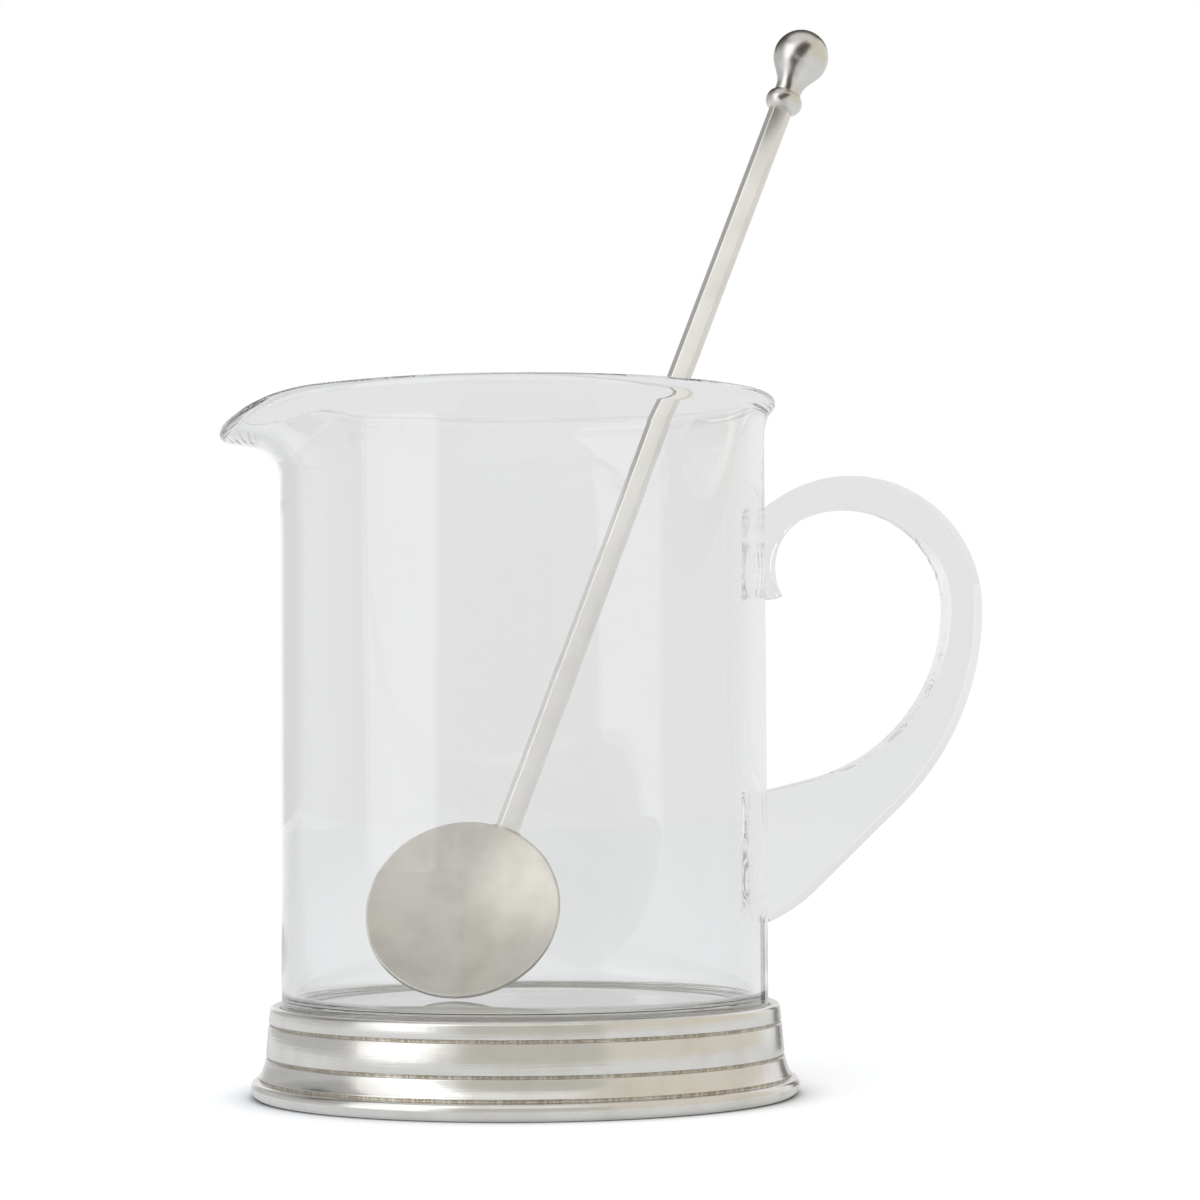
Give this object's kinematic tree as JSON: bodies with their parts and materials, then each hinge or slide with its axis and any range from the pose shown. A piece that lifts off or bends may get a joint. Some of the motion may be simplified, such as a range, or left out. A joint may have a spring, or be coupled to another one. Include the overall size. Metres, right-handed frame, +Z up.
{
  "type": "cocktail pitcher",
  "caption": "Straight-sided clear glass cocktail pitcher with a pulled spout and an applied strap handle, set in a turned pewter base, with a long pewter stirring spoon.",
  "frame": {"origin": "middle of the foot ring's underside, on the vessel's axis", "axes": "+Z up along the vessel's axis, +X from the axis towards the handle, the spout at -X"},
  "size_m": [0.1646, 0.1182, 0.2414],
  "materials": {
    "clear_glass": "clear, fire polished",
    "pewter": "satin pewter with darker grooves",
    "clear_adhesive": "clear, soft"
  },
  "bodies": {
    "pitcher": {"glass_body": "clear_glass", "glass_handle": "clear_glass", "pewter_base": "pewter", "base_plate": "pewter", "bedding_ring": "clear_adhesive"},
    "spoon": {"spoon_bowl": "pewter", "spoon_shaft": "pewter", "spoon_finial": "pewter"}
  },
  "joints": [
    {"name": "spoon_lift", "type": "slide", "parent": "pitcher", "child": "spoon", "axis": [0, 0, 1], "range_m": [0, 0.14]}
  ]
}
